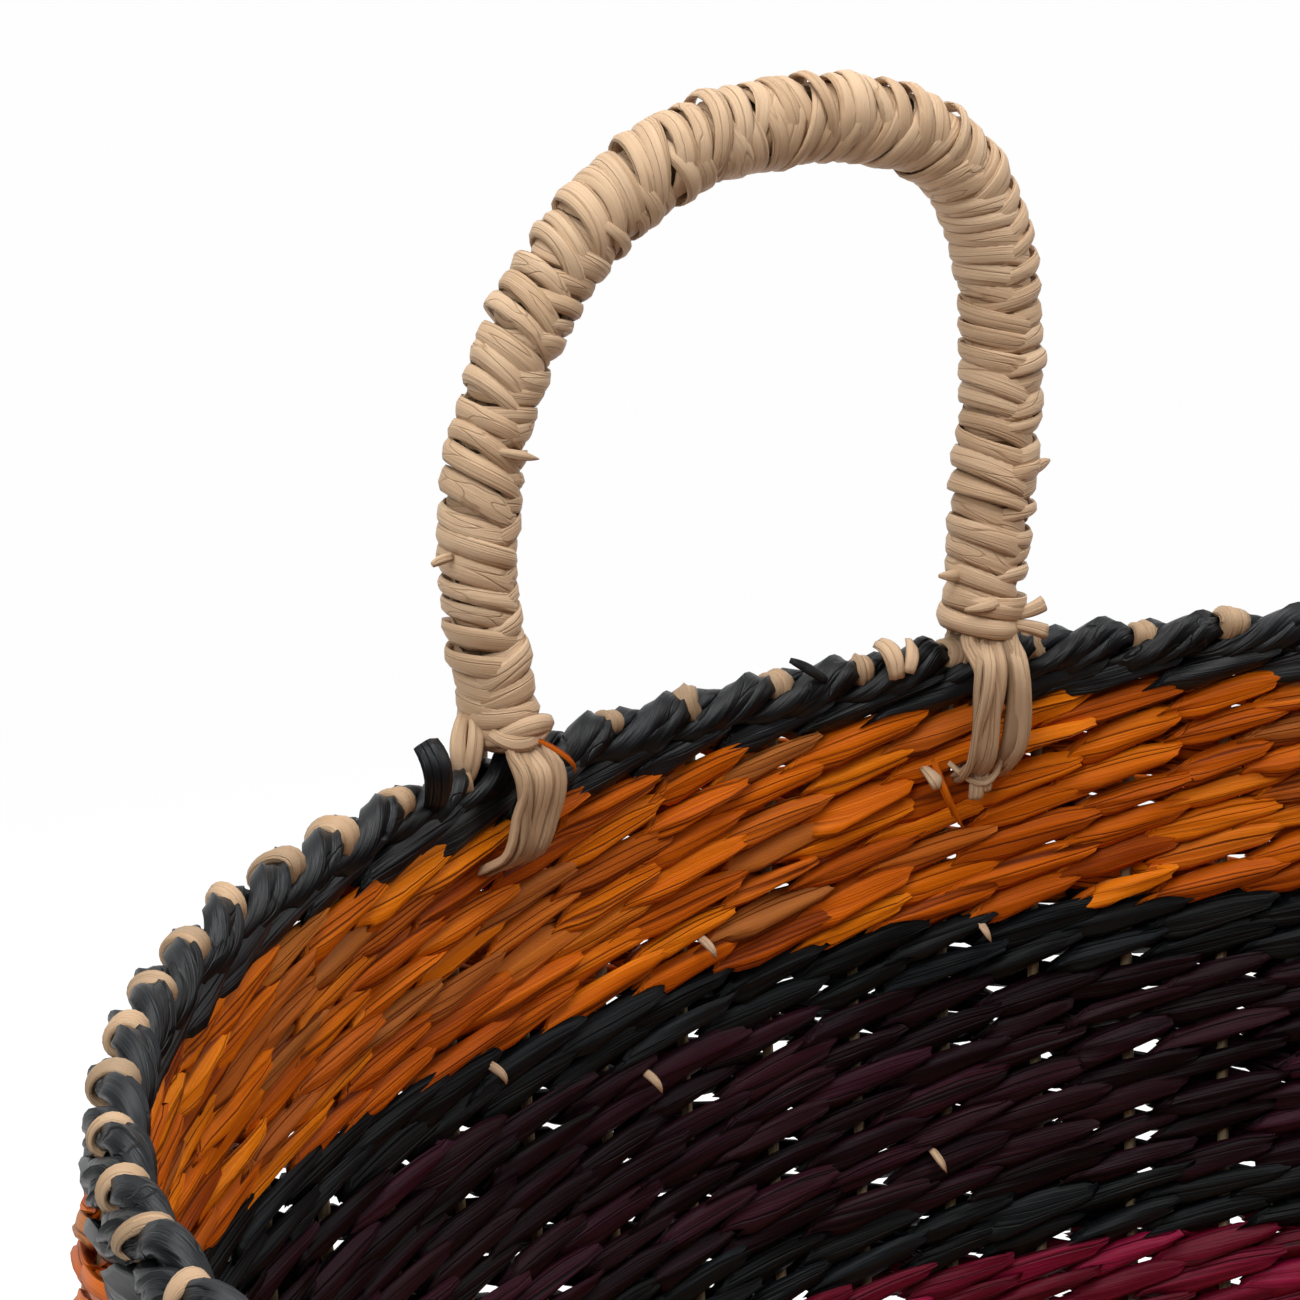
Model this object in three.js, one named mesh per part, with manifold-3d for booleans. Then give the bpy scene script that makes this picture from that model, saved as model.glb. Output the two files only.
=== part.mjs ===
// A round striped storage basket: dyed seagrass wefts twined in bands round natural stakes, a black
// border, and two loop handles, wrapped in seagrass and lashed through the wall under the border.
// Millimetres, +Z up, origin at the centre of the base on the floor, handles at +Y and -Y.
import * as THREE from "three";
import { mergeVertices } from "three/addons/utils/BufferGeometryUtils.js";
import Module from "manifold-3d";

const wasm = await Module();
wasm.setup();

// Weave: two weft strands pass each stake, one outside and one inside
const ROW_PITCH = 7.6;
const WEFT_THICKNESS = 3.0;
const BORDER_THICKNESS = 3.6;
const STAKES_PER_HALF = 34;
const STAKE_WIDTH = 3.6;
const BORDER_CORE = 5; // height of the bundle of stake ends in the top of the border
const BORDER_CROWN = 1.5; // its part above the border's strands
const CLEARANCE = 0.33;
const FACETS = 40;

// Wall: radius of the middle of the wall at the foot, at the two knees and at the border
const FOOT_RADIUS = 222;
const KNEE_RADIUS = 240;
const SHOULDER_RADIUS = 246;
const RIM_RADIUS = 235.5;
const FOOT_CHAMFER = 2;

// Handles
const HANDLE_SPAN = 126; // wanted distance between the feet, moved to the nearest stake gap
const HANDLE_RISE = 121.6; // middle of the bow above the border
const BOW_SHIFT = 8; // the top of the bow lies this far towards the fuller shoulder
const SLACK_SHOULDER = 60; // reach of the easy curve, before the top of the bow
const FULL_SHOULDER = 56; // reach of the tighter curve, after it
const SLACK_LEG_PULL = 68;
const FULL_LEG_PULL = 78;
const SLACK_LEG_BULGE = 3.6;
const FULL_LEG_BULGE = 14.6;
const CORE_RADIUS = 7;
const CORE_SIDES = 10;
const CORE_STEPS = 44;

// Wrapping of a handle: one winding for each half of the bow
const WRAP_THICKNESS = 1.55;
const WRAP_TURNS = 24;
const WRAP_STEPS = 8; // sides of one turn
const WRAP_GAP = 0.8; // between one turn and the next

// Lashing: a flat bundle of strands round the border and through the wall
const LASH_WIDTH = 12;
const LASH_THICKNESS = 3;
const LASH_ROWS = 2; // rows of the top band above the bundle's way through

// Bands of the wall from the foot up, each with its number of rows
const BLACK = { color: 0x1c1f22, roughness: 0.55 };
const ORANGE = { color: 0xc8640f, roughness: 0.6 };
const PLUM = { color: 0x3a1a28, roughness: 0.55 };
const MAGENTA = { color: 0x97163f, roughness: 0.55 };
const NATURAL = { color: 0xc2a27c, roughness: 0.7 };
const BANDS = [
  { name: "foot_black", rows: 2, finish: BLACK },
  { name: "lower_orange", rows: 7, finish: ORANGE },
  { name: "third_black", rows: 2, finish: BLACK },
  { name: "magenta", rows: 7, finish: MAGENTA },
  { name: "second_black", rows: 2, finish: BLACK },
  { name: "plum", rows: 7, finish: PLUM },
  { name: "first_black", rows: 2, finish: BLACK },
  { name: "upper_orange", rows: 7, finish: ORANGE },
  { name: "border", rows: 2, finish: BLACK },
];
const KNEE_BAND = "lower_orange"; // the wall turns at the top of this band
const SHOULDER_BAND = "first_black"; // and draws in from the top of this one

// Levels that follow from the sizes above
const FACET_DIP = 1 - Math.cos(Math.PI / FACETS);
const STAKE_LAYER = WEFT_THICKNESS + CLEARANCE;
const UPPER_BASE = STAKE_LAYER + STAKE_WIDTH + CLEARANCE;
const BASE_TOP = UPPER_BASE + WEFT_THICKNESS;
const levels = [BASE_TOP];
for (const band of BANDS) levels.push(levels.at(-1) + band.rows * ROW_PITCH);
const BORDER_TOP = levels.at(-1);
const CORE_FOOT = BORDER_TOP + BORDER_CROWN - BORDER_CORE;
const topOf = (name) => levels[BANDS.findIndex((band) => band.name === name) + 1];

// Middle of the wall: straight stretches from the foot to the two knees and the border
const WALL_LINE = [
  [0, FOOT_RADIUS],
  [topOf(KNEE_BAND), KNEE_RADIUS],
  [topOf(SHOULDER_BAND), SHOULDER_RADIUS],
  [BORDER_TOP, RIM_RADIUS],
];
function wallRadius(z) {
  let i = 1;
  while (i < WALL_LINE.length - 1 && z > WALL_LINE[i][0]) i += 1;
  const [z0, r0] = WALL_LINE[i - 1];
  const [z1, r1] = WALL_LINE[i];
  return r0 + ((z - z0) / (z1 - z0)) * (r1 - r0);
}
const WIDEST = Math.max(...WALL_LINE.map(([, radius]) => radius));
const DIP = WIDEST * FACET_DIP;
const STAKE_GAP = STAKE_WIDTH + DIP + 2 * CLEARANCE;
const stakeRadius = (z) => wallRadius(z) - DIP / 2;
const STAKE_COUNT = 2 * STAKES_PER_HALF;
const STAKE_PITCH = (2 * Math.PI) / STAKE_COUNT;

// Solids and meshes
function toSolid(geometry) {
  const bare = geometry.clone();
  bare.deleteAttribute("normal");
  bare.deleteAttribute("uv");
  const merged = mergeVertices(bare, 1e-4);
  return new wasm.Manifold(
    new wasm.Mesh({
      numProp: 3,
      vertProperties: new Float32Array(merged.attributes.position.array),
      triVerts: new Uint32Array(merged.index.array),
    }),
  );
}

function toGeometry(solid) {
  const mesh = solid.getMesh();
  const geometry = new THREE.BufferGeometry();
  geometry.setAttribute("position", new THREE.BufferAttribute(mesh.vertProperties, 3));
  geometry.setIndex(new THREE.BufferAttribute(mesh.triVerts, 1));
  geometry.computeVertexNormals();
  return geometry;
}

// Closed skin over a row of rings that have as many points each, with a flat end at either side
function loft(rings) {
  const sides = rings[0].length;
  const index = [];
  for (let i = 0; i + 1 < rings.length; i += 1) {
    for (let j = 0; j < sides; j += 1) {
      const a = i * sides + j;
      const b = i * sides + ((j + 1) % sides);
      index.push(a, b, b + sides, a, b + sides, a + sides);
    }
  }
  const last = (rings.length - 1) * sides;
  for (let j = 1; j + 1 < sides; j += 1) {
    index.push(0, j + 1, j, last, last + j, last + j + 1);
  }
  const geometry = new THREE.BufferGeometry().setFromPoints(rings.flat());
  geometry.setIndex(index);
  geometry.computeVertexNormals();
  return geometry;
}

// Body turned about +Z from a closed profile of [radius, height] points, outer side first
function turned(profile) {
  const points = [...profile, profile[0]].map(([r, z]) => new THREE.Vector2(r, z));
  return new THREE.LatheGeometry(points, FACETS).rotateX(Math.PI / 2);
}

const basket = new THREE.Group();
basket.name = "bolga_basket";

function addMesh(parent, name, geometry, finish) {
  const mesh = new THREE.Mesh(geometry, new THREE.MeshStandardMaterial({ ...finish, metalness: 0 }));
  mesh.name = name;
  parent.add(mesh);
  return mesh;
}

// Base: the stakes lie between two layers of twined rows
const baseEdge = wallRadius(0) + STAKE_GAP / 2 + WEFT_THICKNESS;
addMesh(
  basket,
  "base_weft_lower",
  turned([
    [0, 0],
    [baseEdge - FOOT_CHAMFER, 0],
    [baseEdge, FOOT_CHAMFER],
    [baseEdge, WEFT_THICKNESS],
    [0, WEFT_THICKNESS],
  ]),
  NATURAL,
);
const floorEdge = stakeRadius(UPPER_BASE) - STAKE_WIDTH / 2 - CLEARANCE;
addMesh(
  basket,
  "base_weft_upper",
  turned([
    [0, UPPER_BASE],
    [floorEdge, UPPER_BASE],
    [floorEdge, BASE_TOP],
    [0, BASE_TOP],
  ]),
  NATURAL,
);

// Stakes: they cross in the base, turn up at its edge and end under the core of the border
function upright(angle) {
  const half = STAKE_WIDTH / 2;
  const out = new THREE.Vector3(Math.cos(angle), Math.sin(angle), 0);
  const along = new THREE.Vector3(-Math.sin(angle), Math.cos(angle), 0);
  const heights = [
    STAKE_LAYER + half,
    topOf(KNEE_BAND),
    topOf(SHOULDER_BAND),
    CORE_FOOT - CLEARANCE,
  ];
  const corners = [
    [half, half],
    [-half, half],
    [-half, -half],
    [half, -half],
  ];
  const rings = heights.map((z) =>
    corners.map(([r, t]) =>
      new THREE.Vector3(0, 0, z)
        .addScaledVector(out, stakeRadius(z) + r)
        .addScaledVector(along, t),
    ),
  );
  return toSolid(loft(rings));
}
const stakeEdge = stakeRadius(STAKE_LAYER) + STAKE_WIDTH / 2;
const crossing = toSolid(
  turned([
    [0, STAKE_LAYER],
    [stakeEdge, STAKE_LAYER],
    [stakeEdge, STAKE_LAYER + STAKE_WIDTH],
    [0, STAKE_LAYER + STAKE_WIDTH],
  ]),
);
const uprights = [];
for (let i = 0; i < STAKE_COUNT; i += 1) {
  uprights.push(upright(Math.PI / 2 + (i + 0.5) * STAKE_PITCH));
}
const stakes = wasm.Manifold.union([crossing, ...uprights]);
addMesh(basket, "warp_stakes", toGeometry(stakes), NATURAL);

// Core of the border: the bundle of folded stake ends that closes the top of the wall
addMesh(
  basket,
  "border_core",
  turned(
    [
      [-1, CORE_FOOT],
      [1, CORE_FOOT],
      [1, BORDER_TOP + BORDER_CROWN],
      [-1, BORDER_TOP + BORDER_CROWN],
    ].map(([side, z]) => [stakeRadius(z) + (side * STAKE_WIDTH) / 2, z]),
  ),
  NATURAL,
);

// Where the lashings stand: mid-gap between two stakes, either side of each handle
const FOOT_GAPS = Math.round(Math.asin(HANDLE_SPAN / 2 / RIM_RADIUS) / STAKE_PITCH);
const FOOT_ANGLE = FOOT_GAPS * STAKE_PITCH;
const FOOT_REACH = RIM_RADIUS * Math.sin(FOOT_ANGLE);
const HANDLE_PLANE = RIM_RADIUS * Math.cos(FOOT_ANGLE);
const BORDER_ROWS = BANDS.at(-1).rows;
const LASH_LEVEL = BORDER_TOP - (BORDER_ROWS + LASH_ROWS) * ROW_PITCH;
const LASH_TOP = BORDER_TOP + BORDER_CROWN + CLEARANCE + LASH_THICKNESS;
const HANDLES = [
  { name: "handle_a", turn: 0 },
  { name: "handle_b", turn: Math.PI },
];
const FEET = [
  { name: "left", side: 1 },
  { name: "right", side: -1 },
];
const footAngle = (handle, foot) => Math.PI / 2 + handle.turn + foot.side * FOOT_ANGLE;

// Hole in a band for the bundle of a lashing
function lashSlot(angle) {
  const depth = 2 * (STAKE_GAP + 2 * WEFT_THICKNESS);
  const box = new THREE.BoxGeometry(
    depth,
    LASH_WIDTH + 2 * CLEARANCE,
    LASH_THICKNESS + 2 * CLEARANCE,
  );
  box.translate(wallRadius(LASH_LEVEL), 0, LASH_LEVEL - LASH_THICKNESS / 2);
  return toSolid(box.rotateZ(angle));
}
const lashSlots = HANDLES.flatMap((handle) => FEET.map((foot) => lashSlot(footAngle(handle, foot))));

// Bands: a strand outside the stakes and a strand inside them
BANDS.forEach((band, i) => {
  const isBorder = i === BANDS.length - 1;
  const thickness = isBorder ? BORDER_THICKNESS : WEFT_THICKNESS;
  const top = levels[i + 1] - (isBorder ? 0 : CLEARANCE / 2);
  const bottom = levels[i] + (i === 0 ? CLEARANCE : CLEARANCE / 2);
  const outerBottom = i === 0 ? STAKE_LAYER : bottom;
  const near = STAKE_GAP / 2;
  const far = near + thickness;
  let outer = turned([
    [wallRadius(outerBottom) + near, outerBottom],
    [wallRadius(outerBottom) + far, outerBottom],
    [wallRadius(top) + far, top],
    [wallRadius(top) + near, top],
  ]);
  let inner = turned([
    [wallRadius(bottom) - far, bottom],
    [wallRadius(bottom) - near, bottom],
    [wallRadius(top) - near, top],
    [wallRadius(top) - far, top],
  ]);
  if (LASH_LEVEL > bottom && LASH_LEVEL < top) {
    const slots = wasm.Manifold.union(lashSlots);
    outer = toGeometry(toSolid(outer).subtract(slots));
    inner = toGeometry(toSolid(inner).subtract(slots));
  }
  addMesh(basket, `${band.name}_outer`, outer, band.finish);
  addMesh(basket, `${band.name}_inner`, inner, band.finish);
});

// Lashing: a closed loop in the upright plane through the axis, drawn as radius and height
function lashing() {
  const reach = STAKE_GAP / 2 + BORDER_THICKNESS + CLEARANCE;
  const top = LASH_TOP - LASH_THICKNESS;
  const outTop = wallRadius(top) + reach;
  const outFoot = wallRadius(LASH_LEVEL) + reach;
  const inTop = wallRadius(top) - reach - DIP;
  const inFoot = wallRadius(LASH_LEVEL) - reach - DIP;
  const lap = LASH_THICKNESS;
  const corner = ([x, y]) => new THREE.Vector2(x, y);
  const loop = new THREE.Shape(
    [
      [outFoot + lap, LASH_LEVEL - lap],
      [outTop + lap, top + lap],
      [inTop - lap, top + lap],
      [inFoot - lap, LASH_LEVEL - lap],
    ].map(corner),
  );
  loop.holes.push(
    new THREE.Path(
      [
        [outFoot, LASH_LEVEL],
        [outTop, top],
        [inTop, top],
        [inFoot, LASH_LEVEL],
      ].map(corner),
    ),
  );
  return new THREE.ExtrudeGeometry(loop, { depth: LASH_WIDTH, bevelEnabled: false })
    .translate(0, 0, -LASH_WIDTH / 2)
    .rotateX(Math.PI / 2);
}

// Middle line of a handle in its own upright plane: x along the border, z up from the border
const PIVOT_RISE = LASH_TOP - BORDER_TOP + CLEARANCE + CORE_RADIUS;
class HandleLine extends THREE.Curve {
  constructor() {
    super();
    const point = (x, z) => new THREE.Vector3(x, 0, z);
    const top = point(BOW_SHIFT, HANDLE_RISE);
    this.slackHalf = new THREE.CubicBezierCurve3(
      point(-FOOT_REACH, PIVOT_RISE),
      point(-FOOT_REACH - SLACK_LEG_BULGE, PIVOT_RISE + SLACK_LEG_PULL),
      point(BOW_SHIFT - SLACK_SHOULDER, HANDLE_RISE),
      top,
    );
    this.fullHalf = new THREE.CubicBezierCurve3(
      top,
      point(BOW_SHIFT + FULL_SHOULDER, HANDLE_RISE),
      point(FOOT_REACH + FULL_LEG_BULGE, PIVOT_RISE + FULL_LEG_PULL),
      point(FOOT_REACH, PIVOT_RISE),
    );
  }

  getPoint(t, target = new THREE.Vector3()) {
    const half = t < 0.5 ? this.slackHalf : this.fullHalf;
    return half.getPoint(t < 0.5 ? 2 * t : 2 * t - 1, target);
  }
}
const handleLine = new HandleLine();
const HANDLE_LENGTH = handleLine.getLength();

// Core of a handle: a stiff bundle with a round end standing on each lashing
function handleCore() {
  const section = new THREE.Shape();
  for (let i = 0; i < CORE_SIDES; i += 1) {
    const angle = (i / CORE_SIDES) * 2 * Math.PI;
    section[i ? "lineTo" : "moveTo"](CORE_RADIUS * Math.cos(angle), CORE_RADIUS * Math.sin(angle));
  }
  const rod = new THREE.ExtrudeGeometry(section, {
    steps: CORE_STEPS,
    extrudePath: handleLine,
    bevelEnabled: false,
  });
  const ends = [0, 1].map((t) => {
    const ball = new THREE.SphereGeometry(CORE_RADIUS, CORE_SIDES, CORE_SIDES / 2);
    return toSolid(ball.rotateX(Math.PI / 2).translate(...handleLine.getPoint(t).toArray()));
  });
  return toGeometry(wasm.Manifold.union([toSolid(rod), ...ends]));
}

// Wrapping: a flat strand wound along the middle line from one share of its length to another
const WRAP_INSIDE = (CORE_RADIUS + CLEARANCE) / Math.cos(Math.PI / WRAP_STEPS);
const WRAP_OUTSIDE = WRAP_INSIDE + WRAP_THICKNESS;
const WRAP_PITCH = HANDLE_LENGTH / 2 / (WRAP_TURNS + 1);
const WRAP_WIDTH = WRAP_PITCH - WRAP_GAP;
function wrapPoint(length, angle, radius) {
  const share = length / HANDLE_LENGTH;
  const centre = handleLine.getPointAt(share);
  const tangent = handleLine.getTangentAt(share);
  const side = new THREE.Vector3(0, 1, 0);
  const normal = new THREE.Vector3().crossVectors(side, tangent);
  return centre
    .addScaledVector(normal, radius * Math.cos(angle))
    .addScaledVector(side, radius * Math.sin(angle));
}

function handleWrap(name, start) {
  const steps = WRAP_TURNS * WRAP_STEPS;
  const rings = [];
  for (let i = 0; i <= steps; i += 1) {
    const angle = (i / WRAP_STEPS) * 2 * Math.PI;
    const low = start + (i / WRAP_STEPS) * WRAP_PITCH + WRAP_GAP / 2;
    const high = low + WRAP_WIDTH;
    rings.push([
      wrapPoint(low, angle, WRAP_INSIDE),
      wrapPoint(high, angle, WRAP_INSIDE),
      wrapPoint(high, angle, WRAP_OUTSIDE),
      wrapPoint(low, angle, WRAP_OUTSIDE),
    ]);
  }
  let least = Infinity;
  for (let i = WRAP_STEPS; i <= steps; i += 1) {
    const now = rings[i];
    const before = rings[i - WRAP_STEPS];
    least = Math.min(least, now[0].distanceTo(before[1]), now[3].distanceTo(before[2]));
  }
  console.log(`${name}: least gap from turn to turn ${least.toFixed(2)} mm`);
  return loft(rings);
}

// Handles: the lashings stay with the wall, and the core and wrapping lean together
for (const handle of HANDLES) {
  for (const foot of FEET) {
    const place = new THREE.Group();
    place.rotation.z = footAngle(handle, foot);
    addMesh(place, `${handle.name}_lash_${foot.name}`, lashing(), NATURAL);
    basket.add(place);
  }
  const turn = new THREE.Group();
  turn.rotation.z = handle.turn;
  const stand = new THREE.Group();
  stand.position.set(0, HANDLE_PLANE, BORDER_TOP);
  turn.add(stand);
  addMesh(stand, `${handle.name}_core`, handleCore(), NATURAL);
  for (const [name, start] of [
    ["wrap_left", 0],
    ["wrap_right", HANDLE_LENGTH / 2],
  ]) {
    addMesh(stand, `${handle.name}_${name}`, handleWrap(`${handle.name}_${name}`, start), NATURAL);
  }
  basket.add(turn);
}
console.log(`border top ${BORDER_TOP.toFixed(2)}, pivot ${(BORDER_TOP + PIVOT_RISE).toFixed(2)}`);
console.log(`handle plane ${HANDLE_PLANE.toFixed(2)}, feet at ${FOOT_REACH.toFixed(2)}`);

export default basket;
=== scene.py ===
import math

import bpy
import numpy as np
from mathutils import Matrix, Vector


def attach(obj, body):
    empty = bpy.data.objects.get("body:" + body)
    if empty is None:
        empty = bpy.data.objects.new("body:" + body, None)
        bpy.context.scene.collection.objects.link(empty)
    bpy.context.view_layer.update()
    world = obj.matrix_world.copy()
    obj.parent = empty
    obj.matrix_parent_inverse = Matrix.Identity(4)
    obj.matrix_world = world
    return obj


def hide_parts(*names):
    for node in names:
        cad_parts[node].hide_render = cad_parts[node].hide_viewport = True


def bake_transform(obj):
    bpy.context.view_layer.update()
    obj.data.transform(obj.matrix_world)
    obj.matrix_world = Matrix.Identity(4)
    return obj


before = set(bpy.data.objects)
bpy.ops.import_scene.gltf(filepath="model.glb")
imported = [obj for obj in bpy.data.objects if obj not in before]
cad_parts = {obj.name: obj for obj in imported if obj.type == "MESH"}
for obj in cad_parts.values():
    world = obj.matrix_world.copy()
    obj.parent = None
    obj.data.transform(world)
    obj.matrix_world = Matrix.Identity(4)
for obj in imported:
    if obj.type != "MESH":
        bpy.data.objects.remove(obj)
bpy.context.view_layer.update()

# Wall: rows of two seagrass strands twined round natural stakes, in bands of black, orange, plum and
# magenta. The strands change places by half a turn from stake to stake, so each lies outside one
# stake and inside the next, and every stake shows a leaf of strand on both faces.
ROW_PITCH = 0.0076
STAKE_COUNT = 68
STAKE_PITCH = 2 * math.pi / STAKE_COUNT
BASE_TOP = 0.01026
BORDER_TOP = 0.29906
RIM_RADIUS = 0.2355
RIM_LENGTH = 2 * math.pi * RIM_RADIUS
WALL_HEIGHTS = [-0.03, 0.0, 0.07866, 0.23066, 0.29906, 0.33]
WALL_RADII = [0.2151, 0.222, 0.240, 0.246, 0.2355, 0.23075]
WALL_EASE = np.linspace(-0.022, 0.022, 9)


def wall_radius(height):
    """Radius of the middle of the wall: straight stretches between knees, averaged over a height."""
    samples = np.asarray(height, float)[..., None] + WALL_EASE
    return np.interp(samples, WALL_HEIGHTS, WALL_RADII).mean(-1)


def unit(vectors):
    """Vectors divided by their lengths."""
    return vectors / np.linalg.norm(vectors, axis=-1, keepdims=True)


TUBE_SHIFT = 0.37


def grid_object(name, points, closed, length, traits, material):
    """Tubes from a grid of points [tube, along, around], closed around, with flat ends where open.

    traits holds three values for each point: leaf shade, dryness, and a shift of the streaks. The UV
    map runs in metres along the tube and once around it, and each tube starts further along.
    """
    tubes, along, around, _ = points.shape
    rows = along if closed else along - 1
    tube, i, j = np.meshgrid(np.arange(tubes), np.arange(rows), np.arange(around), indexing="ij")
    start = tube * along * around
    next_i = (i + 1) % along
    next_j = (j + 1) % around
    quads = np.stack(
        [
            start + i * around + j,
            start + i * around + next_j,
            start + next_i * around + next_j,
            start + next_i * around + j,
        ],
        -1,
    ).reshape(-1, 4)
    corner_u = np.stack([i, i, i + 1, i + 1], -1).reshape(-1) * (length / along)
    corner_u = corner_u + np.repeat(tube.reshape(-1), 4) * TUBE_SHIFT
    corner_v = np.stack([j, j + 1, j + 1, j], -1).reshape(-1) / around
    loops = [quads.reshape(-1)]
    totals = [np.full(len(quads), 4)]
    uv = [np.stack([corner_u, corner_v], -1)]
    if not closed:
        first = np.arange(tubes)[:, None] * along * around
        ring = np.arange(around)
        near_cap = first + ring[::-1]
        far_cap = first + (along - 1) * around + ring
        for cap in (near_cap, far_cap):
            loops.append(cap.reshape(-1))
            totals.append(np.full(tubes, around))
            uv.append(np.zeros((cap.size, 2)))
    loops = np.concatenate(loops)
    totals = np.concatenate(totals)
    mesh = bpy.data.meshes.new(name)
    mesh.vertices.add(tubes * along * around)
    mesh.vertices.foreach_set("co", points.reshape(-1).astype(np.float32))
    mesh.loops.add(len(loops))
    mesh.loops.foreach_set("vertex_index", loops.astype(np.int32))
    mesh.polygons.add(len(totals))
    starts = np.concatenate([[0], np.cumsum(totals)[:-1]])
    mesh.polygons.foreach_set("loop_start", starts.astype(np.int32))
    mesh.polygons.foreach_set("loop_total", totals.astype(np.int32))
    mesh.polygons.foreach_set("use_smooth", totals == 4)
    mesh.update(calc_edges=True)
    layer = mesh.uv_layers.new(name="UVMap")
    layer.data.foreach_set("uv", np.concatenate(uv).reshape(-1).astype(np.float32))
    colour = mesh.attributes.new("strand", "FLOAT_COLOR", "POINT")
    rgba = np.ones((tubes, along, around, 4), np.float32)
    rgba[..., :3] = traits
    colour.data.foreach_set("color", rgba.reshape(-1))
    mesh.materials.append(material)
    mesh.validate()
    thing = bpy.data.objects.new(name, mesh)
    bpy.context.scene.collection.objects.link(thing)
    return thing


EVEN = 0.5


def even_traits(points):
    """Middle values of shade, dryness and streak shift for every point of a grid."""
    return np.full((*points.shape[:3], 3), EVEN)


FACE_POINTS = 7
LENS_POWER = 2.4
PLEAT_WAVES = 5.2
FINE_PLEAT_WAVES = 9
FINE_PLEAT_SHARE = 0.45


def lens(points):
    """Outline of a flat strip's section: place across it from -1 to 1, and height of its faces.

    The height is 1 less a power of the place, upward on the front face and downward on the back.
    """
    front = np.linspace(-1, 1, points)
    across = np.concatenate([front, front[-2:0:-1]])
    height = 1 - np.abs(across) ** LENS_POWER
    height[points:] *= -1
    return height, across


def sweep(centre, out, half_out, half_side, ridge, pleat, closed):
    """Tube skin round centre lines [tube, along, 3]: a lens-shaped ring across the line at each point.

    out is the way the ring's broad face looks, half_out and half_side are its half depth and half
    width, ridge [tube, along] shifts the lengthwise pleats across the face, and pleat is their depth:
    a coarse cosine wave and a fine one.
    """
    if closed:
        forward = unit(np.roll(centre, -1, 1) - np.roll(centre, 1, 1))
    else:
        forward = unit(np.gradient(centre, axis=1))
    thin = unit(out - (out * forward).sum(-1, keepdims=True) * forward)
    broad = np.cross(forward, thin)
    height, across = lens(FACE_POINTS)
    wave = ridge[..., None]
    coarse = np.cos(PLEAT_WAVES * across + wave)
    fine = FINE_PLEAT_SHARE * np.cos(FINE_PLEAT_WAVES * across - 2 * wave)
    x = half_out[..., None] * height * (1 + pleat * (coarse + fine))
    y = half_side[..., None] * across
    return (
        centre[:, :, None, :]
        + x[..., None] * thin[:, :, None, :]
        + y[..., None] * broad[:, :, None, :]
    )


STREAK_OFFSETS = (7.3, 5.1)
STREAK_ROUGHNESS = 0.6
FIBRE_WEIGHT = 1.0
BLOTCH_WEIGHT = 0.6
DARK_TONES = (0.7, 1.3)
LIGHT_TONES = (1.3, 1.9)
DRY_LEAVES = (0.72, 1.0)
DRY_MOST = 0.8
CREASE_LINE = 0.5
CREASE_WIDTH = (0.0, 0.04)
CREASE_RISE = 0.8
BUMP_STRENGTH = 0.7
BUMP_DEPTH = 0.0004


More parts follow.
